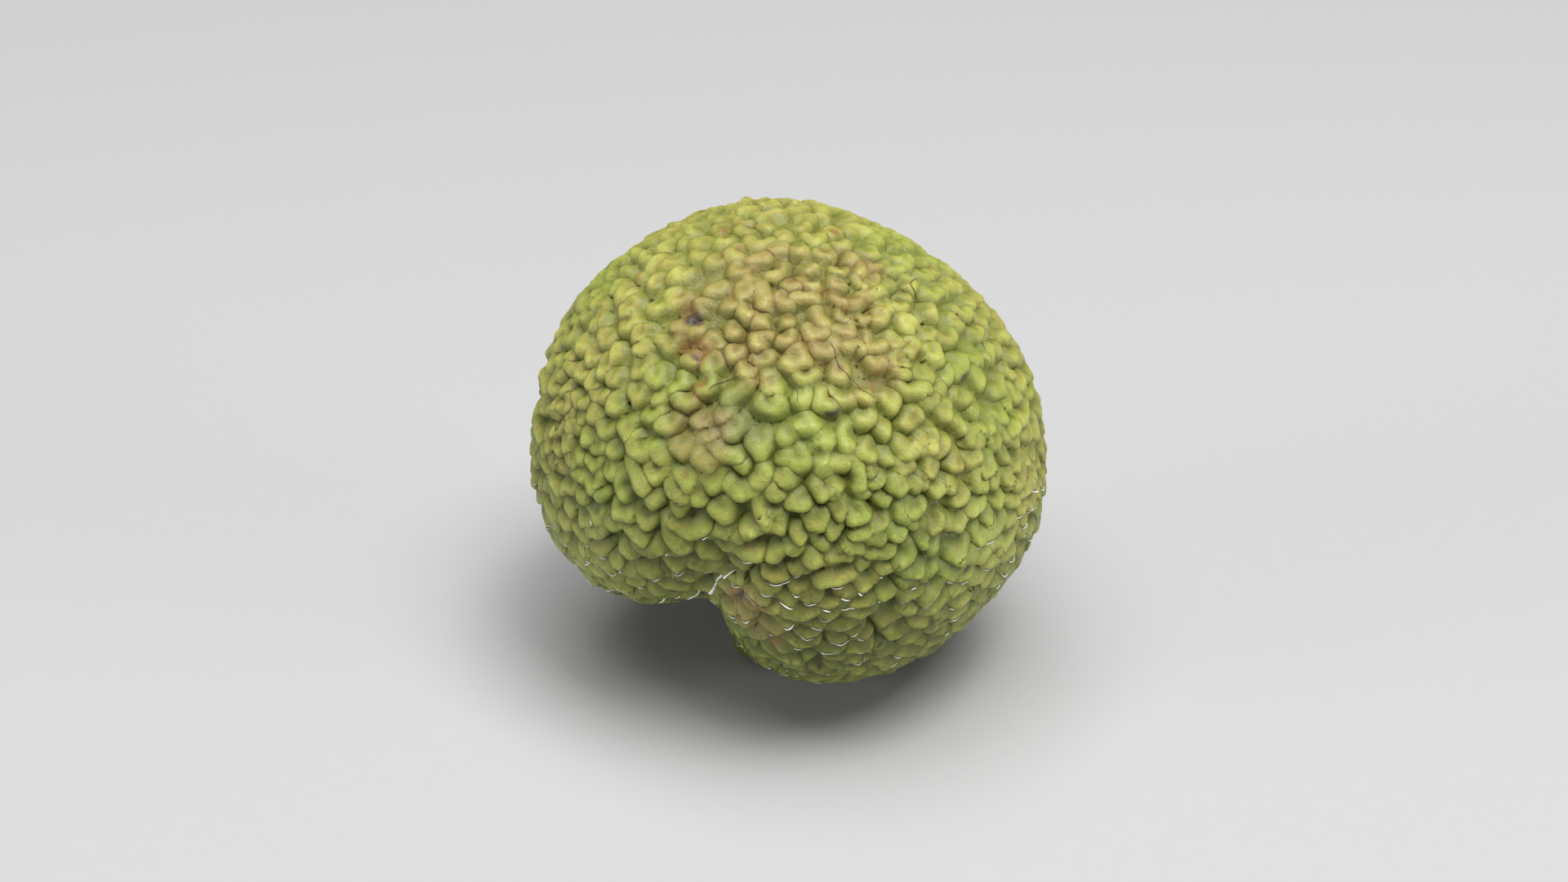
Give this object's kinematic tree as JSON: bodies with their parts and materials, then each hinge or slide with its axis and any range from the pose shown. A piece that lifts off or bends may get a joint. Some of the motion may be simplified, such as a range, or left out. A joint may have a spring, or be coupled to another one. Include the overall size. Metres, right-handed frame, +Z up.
{
  "type": "osage orange fruit",
  "caption": "Whole, lopsided globe fruit covered in puffy pebbled florets, with a deep stem cleft and a small flat spot that it rests on.",
  "frame": {"origin": "on the surface that the fruit rests on, below the middle of its outline", "axes": "+Z up, -Y towards the side with the furrow, the stem cleft opens down and towards -X and -Y"},
  "size_m": [0.1098, 0.1067, 0.104],
  "materials": {
    "rind": "satin yellow-green rind with ochre and brown stains, slightly glossy on the florets"
  },
  "bodies": {
    "root": {"osage_orange_fruit": "rind"}
  },
  "joints": []
}
